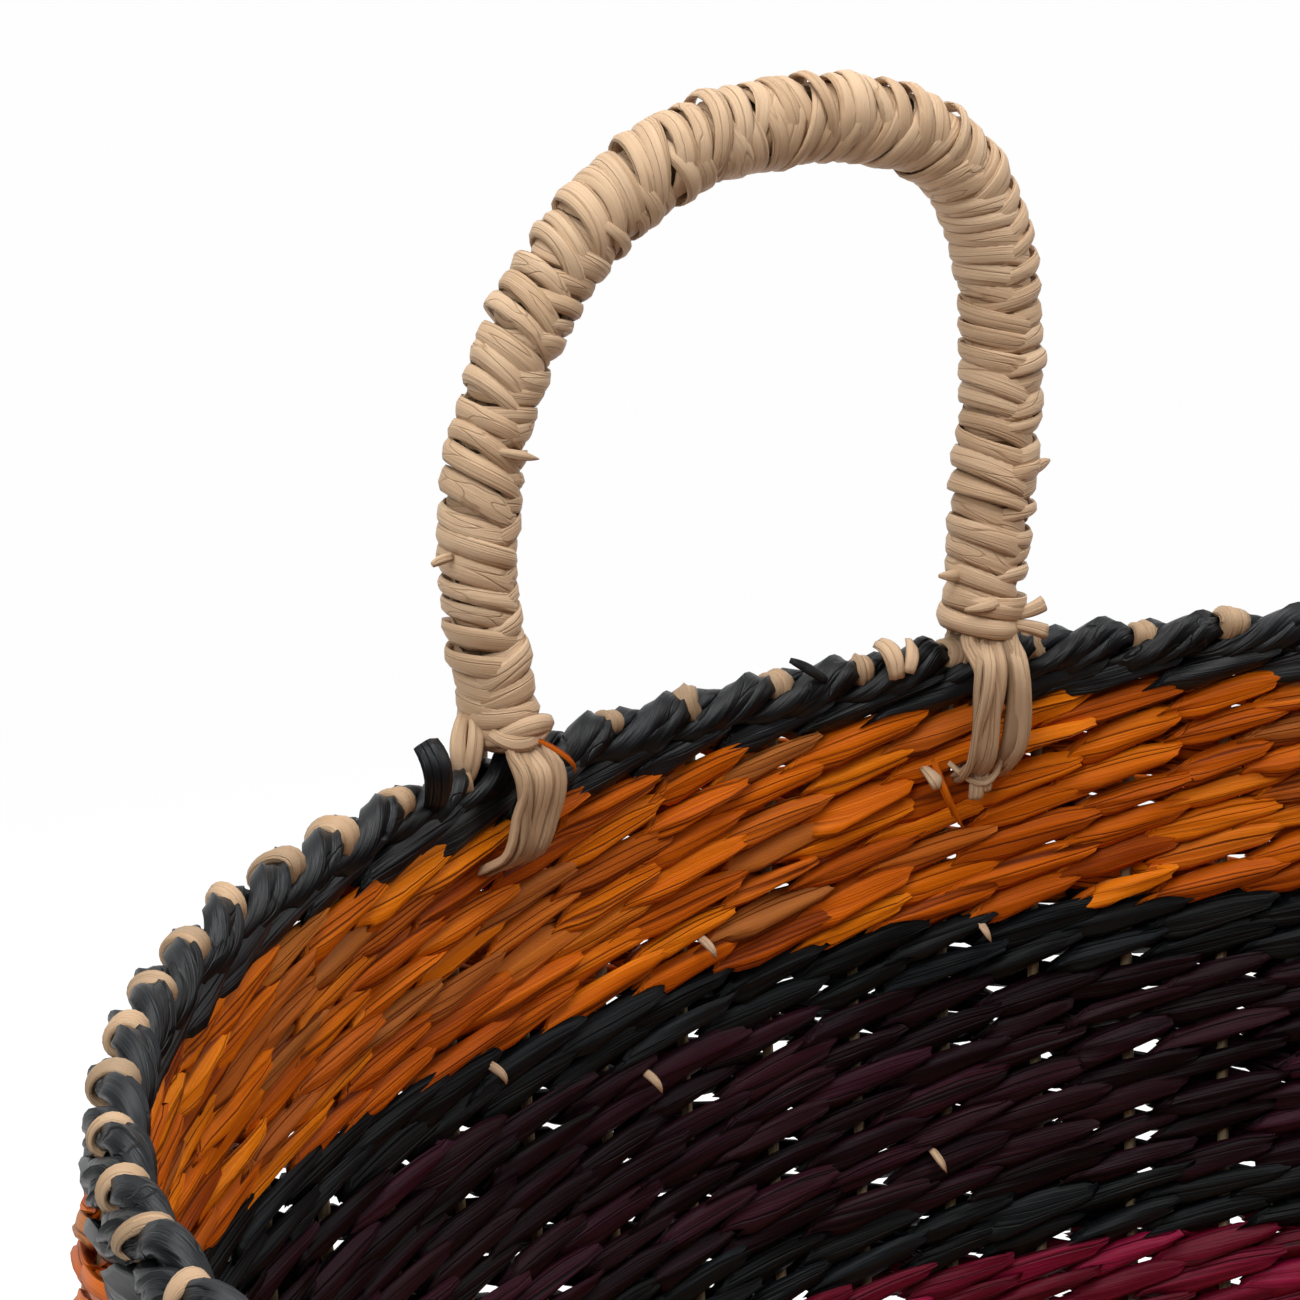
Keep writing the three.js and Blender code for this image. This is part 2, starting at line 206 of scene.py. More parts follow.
def seagrass_group():
    """Shader group: leaf to leaf colour, lengthwise streaks and creases, from strand colour and UV.

    The tone is the leaf's shade, fine streaks and broad blotches added up. It runs from the dark
    colour over the middle one to the light one; dry leaves are mixed in, and creases cut dark lines of
    painted shade into the grooves that the bump gives them.
    """
    group = bpy.data.node_groups.new("seagrass", "ShaderNodeTree")
    for name in ("Dark", "Middle", "Light", "Dry", "Crease"):
        group.interface.new_socket(name=name, in_out="INPUT", socket_type="NodeSocketColor")
    for name, kind in (("Color", "NodeSocketColor"), ("Normal", "NodeSocketVector")):
        group.interface.new_socket(name=name, in_out="OUTPUT", socket_type=kind)
    nodes, links = group.nodes, group.links
    enter = nodes.new("NodeGroupInput")
    leave = nodes.new("NodeGroupOutput")
    strand = nodes.new("ShaderNodeAttribute")
    strand.attribute_name = "strand"
    parts = nodes.new("ShaderNodeSeparateColor")
    links.new(strand.outputs["Color"], parts.inputs["Color"])
    uv = nodes.new("ShaderNodeUVMap")
    uv.uv_map = "UVMap"

    def stretched(along, around, detail, shift):
        """Noise drawn out along the strand, moved by the strand's own values."""
        scale = nodes.new("ShaderNodeVectorMath")
        scale.operation = "MULTIPLY"
        scale.inputs[1].default_value = (along, around, 1)
        links.new(uv.outputs["UV"], scale.inputs[0])
        lift = nodes.new("ShaderNodeVectorMath")
        lift.operation = "MULTIPLY_ADD"
        lift.inputs[1].default_value = (*STREAK_OFFSETS, shift)
        links.new(strand.outputs["Color"], lift.inputs[0])
        links.new(scale.outputs["Vector"], lift.inputs[2])
        noise = nodes.new("ShaderNodeTexNoise")
        noise.inputs["Scale"].default_value = 1
        noise.inputs["Detail"].default_value = detail
        noise.inputs["Roughness"].default_value = STREAK_ROUGHNESS
        links.new(lift.outputs["Vector"], noise.inputs["Vector"])
        return noise.outputs["Fac"]

    def worked(operation, *values):
        """One sum on values that are sockets or numbers."""
        node = nodes.new("ShaderNodeMath")
        node.operation = operation
        for socket, value in zip(node.inputs, values):
            if isinstance(value, float):
                socket.default_value = value
            else:
                links.new(value, socket)
        return node.outputs["Value"]

    def limits(value, low, high):
        """The value drawn out so that low to high runs from 0 to 1."""
        node = nodes.new("ShaderNodeMapRange")
        node.inputs["From Min"].default_value = low
        node.inputs["From Max"].default_value = high
        links.new(value, node.inputs["Value"])
        return node.outputs["Result"]

    def blended(first, second, factor):
        """Mix of two colours."""
        node = nodes.new("ShaderNodeMix")
        node.data_type = "RGBA"
        links.new(factor, node.inputs["Factor"])
        links.new(first, node.inputs["A"])
        links.new(second, node.inputs["B"])
        return node.outputs["Result"]

    fibre = stretched(along=16, around=34, detail=2, shift=11)
    crease_noise = stretched(along=7, around=6, detail=0, shift=3)
    blotch = stretched(along=60, around=2.2, detail=2, shift=19)
    tone = worked("MULTIPLY_ADD", fibre, FIBRE_WEIGHT, parts.outputs["Red"])
    tone = worked("MULTIPLY_ADD", blotch, BLOTCH_WEIGHT, tone)
    colour = blended(enter.outputs["Dark"], enter.outputs["Middle"], limits(tone, *DARK_TONES))
    colour = blended(colour, enter.outputs["Light"], limits(tone, *LIGHT_TONES))
    dry = worked("MULTIPLY", limits(parts.outputs["Green"], *DRY_LEAVES), DRY_MOST)
    colour = blended(colour, enter.outputs["Dry"], dry)
    # Dark lines along the creases: painted shade in the grooves that the bump makes there.
    beside_crease = worked("ABSOLUTE", worked("SUBTRACT", crease_noise, CREASE_LINE))
    crease = limits(beside_crease, *CREASE_WIDTH)
    colour = blended(enter.outputs["Crease"], colour, crease)
    links.new(colour, leave.inputs["Color"])
    bump = nodes.new("ShaderNodeBump")
    bump.inputs["Strength"].default_value = BUMP_STRENGTH
    bump.inputs["Distance"].default_value = BUMP_DEPTH
    links.new(worked("MULTIPLY_ADD", crease, CREASE_RISE, fibre), bump.inputs["Height"])
    links.new(bump.outputs["Normal"], leave.inputs["Normal"])
    return group


SEAGRASS = seagrass_group()


def seagrass(name, roughness, specular, **colours):
    """Material of one dye: the shared seagrass group over a soft, slightly shiny surface."""
    material = bpy.data.materials.new(name)
    material.use_nodes = True
    nodes, links = material.node_tree.nodes, material.node_tree.links
    surface = nodes["Principled BSDF"]
    group = nodes.new("ShaderNodeGroup")
    group.node_tree = SEAGRASS
    for socket, colour in colours.items():
        group.inputs[socket].default_value = (*colour, 1)
    links.new(group.outputs["Color"], surface.inputs["Base Color"])
    links.new(group.outputs["Normal"], surface.inputs["Normal"])
    surface.inputs["Roughness"].default_value = roughness
    surface.inputs["Specular IOR Level"].default_value = specular
    return material


DYES = {
    "black": seagrass(
        "black_seagrass",
        roughness=0.45,
        specular=0.13,
        Dark=(0.0010, 0.0014, 0.0015),
        Middle=(0.0026, 0.0036, 0.0042),
        Light=(0.009, 0.012, 0.0145),
        Dry=(0.008, 0.009, 0.010),
        Crease=(0.001, 0.001, 0.001),
    ),
    "orange": seagrass(
        "orange_seagrass",
        roughness=0.5,
        specular=0.12,
        Dark=(0.24, 0.032, 0.0005),
        Middle=(0.62, 0.122, 0.001),
        Light=(0.92, 0.26, 0.004),
        Dry=(0.38, 0.14, 0.032),
        Crease=(0.14, 0.02, 0.0005),
    ),
    "plum": seagrass(
        "plum_seagrass",
        roughness=0.45,
        specular=0.1,
        Dark=(0.0030, 0.0005, 0.0011),
        Middle=(0.0095, 0.0016, 0.0040),
        Light=(0.046, 0.0085, 0.019),
        Dry=(0.026, 0.007, 0.011),
        Crease=(0.002, 0.001, 0.001),
    ),
    "magenta": seagrass(
        "magenta_seagrass",
        roughness=0.45,
        specular=0.14,
        Dark=(0.06, 0.0015, 0.006),
        Middle=(0.135, 0.0020, 0.017),
        Light=(0.36, 0.009, 0.062),
        Dry=(0.14, 0.018, 0.036),
        Crease=(0.03, 0.001, 0.004),
    ),
}
# The border's black: the black dye with more specular, and lighter, bluer dark and middle colours that
# are painted bluish sheen.
SHEEN_BLACK = seagrass(
    "border_black_seagrass",
    roughness=0.4,
    specular=0.3,
    Dark=(0.0016, 0.0020, 0.0026),
    Middle=(0.0036, 0.0046, 0.0060),
    Light=(0.010, 0.012, 0.0155),
    Dry=(0.008, 0.009, 0.011),
    Crease=(0.001, 0.001, 0.001),
)


def around_point(radius, angle, height):
    """Points from radius, angle from +Y towards -X, and height."""
    return np.stack([-radius * np.sin(angle), radius * np.cos(angle), height + 0 * angle], -1)


def eased(value):
    """Value held to 0 to 1, then three times its square less twice its cube, so its ends are level."""
    held = np.clip(value, 0, 1)
    return held * held * (3 - 2 * held)


LEAF_SHARES = np.array([0.0, 0.06, 0.16, 0.30, 0.46, 0.62, 0.76, 0.86, 0.92, 0.965])
LEAF_GROWN = 0.5
LEAF_SWELL = 0.35
LEAF_TAPER = 0.50
LEAF_HALF_WIDTH = 0.0054
LEAF_HALF_DEPTH = 0.0011
LEAF_REACH = 0.0036
LEAF_CLIMB = 0.0030
LEAF_PLEAT = 0.32
LEAF_SPREADS = {
    "place": 0.11,
    "climb": 0.0005,
    "reach": 0.0004,
    "tilt": 0.14,
    "tuck_width": 0.12,
    "width": 0.1,
    "fold_depth": 0.14,
}
TUCK_HALF_WIDTH = 0.0033
TUCK_REACH = 0.0013
FOLD_START = 0.84
FOLD_LIFT = 0.0008
FOLD_LEAN = 1.6
FOLD_HALF_DEPTH = 0.0023
RIDGE_REACH = 3.1
SHADE_BETA = 2.0
LINE_WAVES = (2, 3, 5, 9)
LINE_SPREAD = 0.00035
PHASE_SPAN = 6.28


def twined_rows(name, heights, strand, rng, material):
    """One strand of each row of a twined pair: flat leaves, by turns outside and inside the stakes.

    Seen from its own face, a leaf starts low and tucked in on one end, grows wider and stands out
    along the row, then folds over through the wall, where the next leaf starts. The fold turns the
    broad face by half a turn, and leans with the height above the row's line. The line itself is
    level but for a few sine waves round the basket.
    """
    rows = len(heights)
    leaf = np.repeat(np.arange(STAKE_COUNT), len(LEAF_SHARES))
    share = np.tile(LEAF_SHARES, STAKE_COUNT)
    side = np.where((leaf + strand) % 2, -1, 1)
    fold = eased((share - FOLD_START) / (1 - FOLD_START))
    grown = eased(share / LEAF_GROWN) * (1 - fold)
    spin = np.pi * fold

    def drawn(trait):
        """A random value for each leaf of each row, by the trait's spread."""
        return rng.normal(0, LEAF_SPREADS[trait], (rows, STAKE_COUNT))

    def over_leaf(values):
        """Leaf values that fade out at the leaf's ends."""
        return values[:, leaf] * grown

    def at_folds(values):
        """Values given at the folds, running evenly from one fold to the next."""
        following = np.roll(values, -1, 1)
        return values[:, leaf] * (1 - share) + following[:, leaf] * share

    def each_leaf(values):
        """Leaf values for every point of the leaf's skin."""
        return values[:, leaf][..., None]

    angle = -(leaf + share) * STAKE_PITCH
    line = np.asarray(heights)[:, None] + sum(
        rng.normal(0, LINE_SPREAD, (rows, 1))
        * np.sin(k * angle + rng.uniform(0, PHASE_SPAN, (rows, 1)))
        for k in LINE_WAVES
    )
    angle = angle + at_folds(drawn("place")) * STAKE_PITCH
    climb = LEAF_CLIMB * (2 * share - 1) + FOLD_LIFT * np.sin(spin)
    height = line - side * climb + over_leaf(drawn("climb"))
    away = TUCK_REACH + (LEAF_REACH - TUCK_REACH) * grown + over_leaf(drawn("reach"))
    centre = around_point(wall_radius(height) + side * np.cos(spin) * away, angle, height)
    tilt = spin + over_leaf(drawn("tilt"))
    out = around_point(side * np.cos(tilt), angle, -side * np.sin(tilt))
    tuck_side = at_folds(TUCK_HALF_WIDTH * (1 + drawn("tuck_width")))
    broad = tuck_side + over_leaf(LEAF_HALF_WIDTH * (1 + drawn("width")) - TUCK_HALF_WIDTH)
    narrowing = eased((share - LEAF_SWELL) / (1 - LEAF_SWELL))
    broad = broad * (1 - LEAF_TAPER * narrowing * grown)
    fold_depth = at_folds(FOLD_HALF_DEPTH * (1 + drawn("fold_depth")))
    thick = fold_depth + (LEAF_HALF_DEPTH - FOLD_HALF_DEPTH) * grown
    ridge = at_folds(rng.uniform(-RIDGE_REACH, RIDGE_REACH, (rows, STAKE_COUNT)))
    points = sweep(centre, out, thick, broad, ridge, LEAF_PLEAT, True)
    x, y, z = np.moveaxis(points, -1, 0)
    radius = np.hypot(x, y)
    rise = z - line[..., None]
    stand = np.clip((radius - wall_radius(z)) / LEAF_REACH, -1, 1)
    lean = FOLD_LEAN * rise * stand / radius
    turned_x = x * np.cos(lean) - y * np.sin(lean)
    turned_y = x * np.sin(lean) + y * np.cos(lean)
    points = np.stack([turned_x, turned_y, z], -1)
    traits = even_traits(points)
    traits[..., 0] = each_leaf(rng.beta(SHADE_BETA, SHADE_BETA, (rows, STAKE_COUNT)))
    traits[..., 1] = each_leaf(rng.uniform(0, 1, (rows, STAKE_COUNT)))
    traits[..., 2] = each_leaf(rng.uniform(0, 1, (rows, STAKE_COUNT)))
    thing = grid_object(name, points, True, RIM_LENGTH, traits, material)
    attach(thing, "basket")
    return thing


# Bands from the base up: name, number of twined rows and dye.
BANDS = [
    ("foot_black", 2, "black"),
    ("lower_orange", 7, "orange"),
    ("third_black", 2, "black"),
    ("magenta", 7, "magenta"),
    ("second_black", 2, "black"),
    ("plum", 7, "plum"),
    ("first_black", 2, "black"),
    ("upper_orange", 7, "orange"),
    ("border", 1, "black"),
]
WEAVE_SEED = 11
rng = np.random.default_rng(WEAVE_SEED)
row_foot = 0
for band, rows, dye in BANDS:
    levels = BASE_TOP + ROW_PITCH * (row_foot + 0.5 + np.arange(rows))
    material = SHEEN_BLACK if band == "border" else DYES[dye]
    for strand, face in enumerate(("outer", "inner")):
        weave = twined_rows(f"{band}_weave_{face}", levels, strand, rng, material)
        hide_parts(f"{band}_{face}")
    row_foot += rows

# Border: a black rope of two strands along the top of the wall, each of two flat leaves. It lies on
# the last twined row and is tied down by the stakes' ends, and its strands turn over each other by
# half a turn from stake to stake.
ROLL_SINK = 0.0062
BORDER_ROLL = BORDER_TOP - ROLL_SINK
ROLL_STEPS = 14
ROLL_OFFSET = 0.0028
ROLL_PLIES = np.array([[-0.42], [0.42]])
ROLL_START = math.radians(-62)
ROLL_HUMP = 0.0013
ROLL_HALF_DEPTH = 0.0026
ROLL_HALF_WIDTH = 0.0031
ROLL_SWELL = 0.12
ROLL_PLEAT = 0.22
ROLL_SPREADS = {"offset": 0.0003, "hump": 0.45, "size": 0.09, "ridge": 1.2, "shade": 0.25}
PLY_RIDGE = 2
TIE_REACH = 0.19
TIE_HOLD = 1.3
TIE_SQUEEZE = 0.36
TIE_GATHER = 0.6
TIE_SINK = 0.3


def rope_strand(name, strand, rng):
    """One strand of the border's rope: two leaves side by side on a helix round the rope's middle.

    The turn is measured at the rope's middle from the inner side upward. A leaf is thickest and
    lifted where it passes over the top, and drawn in and squeezed where a stake's end ties it.
    """
    passed = np.arange(STAKE_COUNT * ROLL_STEPS) / ROLL_STEPS
    stake = passed.astype(int)
    share = eased(passed - stake)

    def drifting(trait):
        """A random value for each leaf at every stake, running smoothly from stake to stake."""
        at_stakes = rng.normal(0, ROLL_SPREADS[trait], (len(ROLL_PLIES), STAKE_COUNT))
        following = np.roll(at_stakes, -1, 1)
        return at_stakes[:, stake] * (1 - share) + following[:, stake] * share

    strand_turn = ROLL_START + np.pi * (passed + strand)
    near_strap = np.exp(-(((passed - np.round(passed)) / TIE_REACH) ** 2))
    tied = near_strap * np.clip(TIE_HOLD * np.sin(strand_turn), 0, 1)
    turn = strand_turn + ROLL_PLIES * (1 - TIE_GATHER * tied)
    over = np.clip(np.sin(turn), 0, 1) ** 2
    angle = STAKE_PITCH * (0.5 - passed) + 0 * turn
    offset = (ROLL_OFFSET + drifting("offset")) * (1 - TIE_SINK * tied)
    hump = ROLL_HUMP * over * (1 + drifting("hump")) * (1 - tied)
    height = BORDER_ROLL + offset * np.sin(turn) + hump
    centre = around_point(wall_radius(height) - offset * np.cos(turn), angle, height)
    out = around_point(-np.cos(turn), angle, np.sin(turn))
    size = (1 + ROLL_SWELL * np.sin(turn) + drifting("size")) * (1 - TIE_SQUEEZE * tied)
    ridge = PLY_RIDGE * ROLL_PLIES + drifting("ridge")
    thick = ROLL_HALF_DEPTH * size
    broad = ROLL_HALF_WIDTH * size
    points = sweep(centre, out, thick, broad, ridge, ROLL_PLEAT, True)
    traits = even_traits(points)
    traits[..., 0] = (EVEN + drifting("shade"))[..., None]
    thing = grid_object(name, points, True, RIM_LENGTH, traits, SHEEN_BLACK)
    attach(thing, "basket")


for strand, face in enumerate(("outer", "inner")):
    rope_strand(f"border_roll_{face}", strand, rng)

# Stakes: stiff rods of undyed seagrass, dull and half hidden between the strands, their colour darkened
# as painted shade. They rise inside
# the wall from the base to the border, and the twined rows hold them upright.
STAKE_RADIUS = 0.0014
STAKE_STEPS = 24
STAKE_MARGIN = 0.004
STAKE_LENGTH = 0.3
STAKE_PLEAT = 0.1
STAKE_SHADES = (0.2, 0.8)
# The stakes' colours are the undyed seagrass painted darker, as shade between the strands; the higher
# roughness is their dull surface.
DULL_SHADED_NATURAL = seagrass(
    "stake_seagrass",
    roughness=0.6,
    specular=0.2,
    Dark=(0.20, 0.15, 0.085),
    Middle=(0.28, 0.21, 0.12),
    Light=(0.36, 0.27, 0.16),
    Dry=(0.20, 0.15, 0.09),
    Crease=(0.15, 0.11, 0.06),
)
stake_angle = (np.arange(STAKE_COUNT) + 0.5) * STAKE_PITCH
stake_height = np.linspace(STAKE_MARGIN, BORDER_TOP - STAKE_MARGIN, STAKE_STEPS)
grid_angle, grid_height = np.meshgrid(stake_angle, stake_height, indexing="ij")
stake_line = around_point(wall_radius(grid_height), grid_angle, grid_height)
stake_out = around_point(np.ones_like(grid_angle), grid_angle, np.zeros_like(grid_height))
stake_half = np.full(grid_angle.shape, STAKE_RADIUS)
stake_ridge = np.zeros(grid_angle.shape)
stake_points = sweep(stake_line, stake_out, stake_half, stake_half, stake_ridge, STAKE_PLEAT, False)
stake_traits = even_traits(stake_points)
stake_traits[..., 0] = rng.uniform(*STAKE_SHADES, (STAKE_COUNT, 1, 1))
stakes = grid_object("stake_rods", stake_points, False, STAKE_LENGTH, stake_traits, DULL_SHADED_NATURAL)
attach(stakes, "basket")
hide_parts("warp_stakes")

# Straps of the border: the stakes' soft ends, of undyed seagrass. Each is folded over the strand of
# the rope that lies on top there, and goes down again between the two strands.
STRAP_STEPS = 20
STRAP_HALF_WIDTH = 0.0031
STRAP_FLATNESS = 0.5
STRAP_WANING = 0.25
STRAP_ACROSS = 0.0029
STRAP_ALONG = 0.0033
STRAP_LIFT = 0.0006
STRAP_OUTWARD = 0.0004
STRAP_SLANT = 0.0004
STRAP_LENGTH = 0.035
STRAP_PLEAT = 0.3
STRAP_SPREADS = {
    "across": 0.0003,
    "along": 0.0004,
    "lift": 0.0004,
    "aside": 0.0009,
    "slant": 0.0014,
    "width": 0.0005,
}
STRAP_SHADES = (-0.1, 0.6)
STRAP_DRYNESS = (0.75, 1.0)
NATURAL = seagrass(
    "natural_seagrass",
    roughness=0.5,
    specular=0.25,
    Dark=(0.50, 0.325, 0.19),
    Middle=(0.60, 0.41, 0.255),
    Light=(0.68, 0.49, 0.32),
    Dry=(0.27, 0.18, 0.105),
    Crease=(0.46, 0.295, 0.17),
)
tied_turn = ROLL_START + np.pi
tied_offset = ROLL_OFFSET * (1 - TIE_SINK)
tied_radial = STRAP_OUTWARD - tied_offset * math.cos(tied_turn)
tied_height = BORDER_ROLL + tied_offset * math.sin(tied_turn)
loop_turn = np.linspace(0, 2 * np.pi, STRAP_STEPS, endpoint=False)


def per_strap(middle, trait):
    """A random value for each strap, by its middle value and the trait's spread."""
    return rng.normal(middle, STRAP_SPREADS[trait], (STAKE_COUNT, 1))


strap_across = per_strap(STRAP_ACROSS, "across") * np.cos(loop_turn)
strap_along = per_strap(STRAP_ALONG, "along") * np.sin(loop_turn)
face_across = np.cos(loop_turn) / STRAP_ACROSS
face_along = np.sin(loop_turn) / STRAP_ALONG
strap_lift = per_strap(STRAP_LIFT, "lift")
strap_rise = strap_across * math.sin(tied_turn) - strap_along * math.cos(tied_turn)
strap_height = tied_height + strap_lift + strap_rise
strap_inward = strap_across * math.cos(tied_turn) + strap_along * math.sin(tied_turn)
strap_aside = per_strap(0, "aside") + per_strap(STRAP_SLANT, "slant") * np.sin(loop_turn)
strap_angle = stake_angle[:, None] + strap_aside / RIM_RADIUS
strap_radius = wall_radius(strap_height) + tied_radial - strap_inward
strap_line = around_point(strap_radius, strap_angle, strap_height)
strap_face = around_point(
    -face_across * math.cos(tied_turn) - face_along * math.sin(tied_turn) + 0 * strap_angle,
    strap_angle,
    face_across * math.sin(tied_turn) - face_along * math.cos(tied_turn),
)
strap_waning = 1 - STRAP_WANING * (1 - np.sin(loop_turn))
strap_half = per_strap(STRAP_HALF_WIDTH, "width") * strap_waning
strap_ridge = rng.uniform(0, PHASE_SPAN, (STAKE_COUNT, 1)) + 0 * loop_turn
strap_thick = STRAP_FLATNESS * strap_half
strap_points = sweep(strap_line, strap_face, strap_thick, strap_half, strap_ridge, STRAP_PLEAT, True)
strap_traits = even_traits(strap_points)
strap_traits[..., 0] = rng.uniform(*STRAP_SHADES, (STAKE_COUNT, 1, 1))
strap_traits[..., 1] = rng.uniform(*STRAP_DRYNESS, (STAKE_COUNT, 1, 1))
straps = grid_object("border_straps", strap_points, True, STRAP_LENGTH, strap_traits, NATURAL)
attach(straps, "basket")
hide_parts("border_core")

# Base: a flat disc of undyed seagrass, twined in rings round the stakes where they lie flat. Two
# strands change places above and below the stakes, of which there are fewer towards the middle.
BASE_MIDDLE = 0.0053
BASE_STEPS = 4
BASE_LENGTH = 1.0
BASE_PLEAT = 0.25
SPARE_LEAVES = 3
# Zones of the base from outside in: outer radius, inner radius and number of stakes crossed.
BASE_RINGS = [(0.2205, 0.1175, 68), (0.1130, 0.0560, 34), (0.0515, 0.0050, 17)]


def base_rings(name, strand, rng):
    """One strand of each ring of the base.

    It swings down and up with the cosine of half a turn for each stake, and in and out with its sine.
    With an odd number of stakes it makes one half turn more, so that the ring closes.
    """
    parts = []
    shades = []
    for outer, inner, count in BASE_RINGS:
        radii = np.arange(outer, inner, -ROW_PITCH)
        per_ring = STAKE_COUNT * BASE_STEPS
        u = np.arange(per_ring) * (count / per_ring)
        phase = np.pi * (u - 0.5 + strand)
        if count % 2:
            phase = phase * (count + 1) / count
        window = np.abs(np.cos(phase))
        turn = np.arange(per_ring) / per_ring * 2 * np.pi
        angle = np.broadcast_to(turn, (len(radii), per_ring))
        radius = radii[:, None] + LEAF_CLIMB * np.sin(phase)
        height = BASE_MIDDLE - LEAF_REACH * np.cos(phase) + 0 * radius
        centre = around_point(radius, angle, height)
        down = np.zeros_like(centre)
        down[..., 2] = -1
        leaf = np.floor(phase / np.pi + 0.5).astype(int)
        leaf_tone = rng.beta(SHADE_BETA, SHADE_BETA, (len(radii), count + SPARE_LEAVES))[:, leaf]
        broad = TUCK_HALF_WIDTH + (LEAF_HALF_WIDTH - TUCK_HALF_WIDTH) * window + 0 * radius
        thick = np.full(radius.shape, LEAF_HALF_DEPTH)
        ridge = PHASE_SPAN * leaf_tone
        parts.append(sweep(centre, down, thick, broad, ridge, BASE_PLEAT, True))
        shades.append(leaf_tone)
    points = np.concatenate(parts)
    traits = even_traits(points)
    traits[..., 0] = np.concatenate(shades)[..., None]
    thing = grid_object(name, points, True, BASE_LENGTH, traits, NATURAL)
    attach(thing, "basket")
    return thing


for strand, layer in enumerate(("lower", "upper")):
    base_weave = base_rings(f"base_weave_{layer}", strand, rng)
    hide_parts(f"base_weft_{layer}")

# Handles: a stiff core, painted dark as the shade in the wrapping's gaps, bent into a bow and wrapped
# from foot to foot in flat natural seagrass.
# Two strips cross on the faces of each half of the bow, and a tie closes the wrapping at each foot.
FOOT_ANGLE = 3 * STAKE_PITCH
FOOT_REACH = RIM_RADIUS * math.sin(FOOT_ANGLE)
HANDLE_PLANE = RIM_RADIUS * math.cos(FOOT_ANGLE)
PIVOT_RISE = 0.01216
HANDLE_RISE = 0.1216
BOW_SHIFT = 0.008
FOOT_DRIFT = 0.0030
# Corners of the bow's two cubic halves: along the border, and up from its top.
SLACK_HALF = [
    (-FOOT_REACH - 0.0010, PIVOT_RISE),
    (-FOOT_REACH - 0.0126, PIVOT_RISE + 0.068),
    (BOW_SHIFT - 0.045, HANDLE_RISE),
    (BOW_SHIFT, HANDLE_RISE),
]
FULL_HALF = [
    (BOW_SHIFT, HANDLE_RISE),
    (BOW_SHIFT + 0.0625, HANDLE_RISE),
    (FOOT_REACH + 0.0101, PIVOT_RISE + 0.078),
    (FOOT_REACH - FOOT_DRIFT, PIVOT_RISE),
]
BOW_POINTS = 300


def bezier(corners, count):
    """Points of a cubic curve from its four corners."""
    t = np.linspace(0, 1, count)[:, None]
    a, b, c, d = np.asarray(corners)
    return (1 - t) ** 3 * a + 3 * (1 - t) ** 2 * t * b + 3 * (1 - t) * t**2 * c + t**3 * d


bow = np.concatenate([bezier(SLACK_HALF, BOW_POINTS), bezier(FULL_HALF, BOW_POINTS)[1:]])
bow_length = np.concatenate([[0], np.cumsum(np.linalg.norm(np.diff(bow, axis=0), axis=1))])
BOW_LENGTH = bow_length[-1]
bow_forward = unit(np.gradient(bow, axis=0))


def along_bow(length, values):
    """Values given at the bow's points, between them by length."""
    return np.stack([np.interp(length, bow_length, values[:, k]) for k in (0, 1)], -1)


def bow_at(length):
    """Place and forward direction on the bow's middle line; past the feet it runs straight on."""
    inside = np.clip(length, 0, BOW_LENGTH)
    ahead = unit(along_bow(inside, bow_forward))
    return along_bow(inside, bow) + (length - inside)[..., None] * ahead, ahead


def handle_place(x, y, z, turned=False):
    """A handle's own point in the basket's frame: x along the border, y outward, z up from its top.

    turned puts it on the opposite side, half a turn round the basket.
    """
    side = -1 if turned else 1
    return np.stack([side * x, side * (HANDLE_PLANE + y), BORDER_TOP + z], -1)


CORE_RADIUS = 0.0066
CORE_SKIP = 12
LEG_SLIMMING = 0.12
SLIM_END = 0.40
SLIM_FADE = 0.2


def slimmed(length):
    """Share of the full thickness along the bow: less on the first leg, whole past the shoulder."""
    return 1 - LEG_SLIMMING * eased((SLIM_END - length / BOW_LENGTH) / SLIM_FADE)


def wander(rng, count, spread, knots):
    """A smooth random value over count steps: straight between evenly spaced knots, then averaged."""
    at = np.linspace(0, 1, knots)
    fine = np.linspace(0, 1, count)
    value = np.interp(fine, at, rng.normal(0, spread, knots))
    blur = max(1, count // knots // 2)
    window = np.ones(2 * blur + 1) / (2 * blur + 1)
    return np.convolve(np.pad(value, blur, mode="edge"), window, "valid")


WRAP_FOOT = -0.0108
FOOT_TAPER = 0.014
FOOT_GRIP = 0.07
RIBBON_HALF_WIDTH = 0.0024
RIBBON_HALF_DEPTH = 0.0007
RIBBON_SLANT = 0.0024
RIBBON_OVER = 0.0010
RIBBON_PLEAT = 0.14
RIBBON_STEPS = 24
RIBBON_STEP_LENGTH = 0.0017
RIBBON_PHASES = (1.0, 2.6)
RIBBON_SPREADS = {
    "along": 0.0005,
    "crossing": 0.4,
    "slant": 0.3,
    "lift": 0.0005,
    "lean": 0.2,
    "width": 0.2,
    "ridge": 2.4,
    "shade": 0.3,
}
KNOTS_PER_TURN = 1.6
LEAST_KNOTS = 4
CROSSING = {"radius": CORE_RADIUS + 0.0013, "pitch": 0.0049, "stout": 1.0}
FOOT_TIE_ENDS = (0.0010, 0.0080)
FOOT_TIE = {
    "radius": CORE_RADIUS + 0.0022,
    "pitch": 0.0040,
    "phase": 2.0,
    "slant": 0.0010,
    "over": 0.0,
    "stout": 1.3,
}


